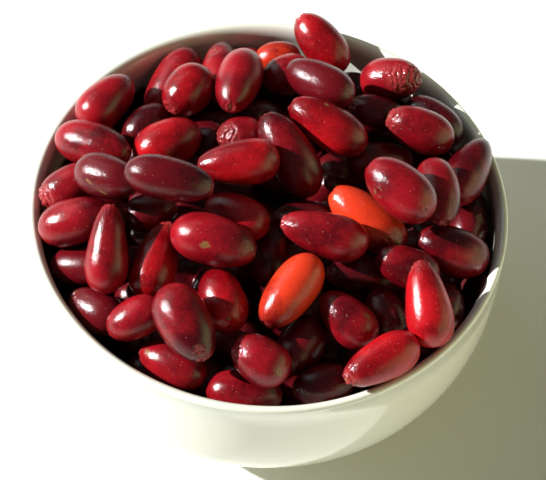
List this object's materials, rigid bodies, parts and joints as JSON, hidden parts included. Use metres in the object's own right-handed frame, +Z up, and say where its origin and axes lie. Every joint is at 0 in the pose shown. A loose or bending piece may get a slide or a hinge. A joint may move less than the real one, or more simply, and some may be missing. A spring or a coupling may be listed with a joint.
{
  "type": "dish of cornelian cherries",
  "caption": "Round white glazed bowl on a foot ring, heaped with oblong glossy red cornelian cherries.",
  "frame": {"origin": "middle of the foot ring's underside, on the surface that the bowl stands on", "axes": "+Z up along the bowl's axis, -Y towards the viewer, +X to the viewer's right"},
  "size_m": [0.148, 0.148, 0.0969],
  "materials": {
    "glaze": "glossy off-white glaze",
    "bright_skin": "glossy bright red fruit skin",
    "red_skin": "glossy deep red fruit skin",
    "dark_skin": "glossy maroon fruit skin",
    "orange_skin": "glossy orange red fruit skin"
  },
  "bodies": {
    "root": {"bowl": "glaze", "cherry_01": "bright_skin", "cherry_02": "red_skin", "cherry_03": "red_skin", "cherry_04": "red_skin", "cherry_05": "bright_skin", "cherry_06": "bright_skin", "cherry_07": "dark_skin", "cherry_08": "dark_skin", "cherry_09": "red_skin", "cherry_10": "red_skin", "cherry_11": "dark_skin", "cherry_12": "red_skin", "cherry_13": "dark_skin", "cherry_14": "bright_skin", "cherry_15": "dark_skin", "cherry_16": "red_skin", "cherry_17": "red_skin", "cherry_18": "red_skin", "cherry_19": "bright_skin", "cherry_20": "orange_skin", "cherry_21": "red_skin", "cherry_22": "red_skin", "cherry_23": "dark_skin", "cherry_24": "red_skin", "cherry_25": "bright_skin", "cherry_26": "bright_skin", "cherry_27": "dark_skin", "cherry_28": "red_skin", "cherry_29": "dark_skin", "cherry_30": "red_skin", "cherry_31": "dark_skin", "cherry_32": "red_skin", "cherry_33": "red_skin", "cherry_34": "red_skin", "cherry_35": "red_skin", "cherry_36": "dark_skin", "cherry_37": "red_skin", "cherry_38": "dark_skin", "cherry_39": "bright_skin", "cherry_40": "dark_skin", "cherry_41": "red_skin", "cherry_42": "red_skin", "cherry_43": "red_skin", "cherry_44": "dark_skin", "cherry_45": "orange_skin", "cherry_46": "red_skin", "cherry_47": "red_skin", "cherry_48": "bright_skin", "cherry_49": "red_skin", "cherry_50": "red_skin", "cherry_51": "red_skin", "cherry_52": "orange_skin", "cherry_53": "dark_skin", "cherry_54": "dark_skin", "cherry_55": "dark_skin", "lower_cherries_1": "dark_skin", "lower_cherries_2": "dark_skin", "lower_cherries_3": "dark_skin", "lower_cherries_4": "dark_skin"}
  },
  "joints": []
}
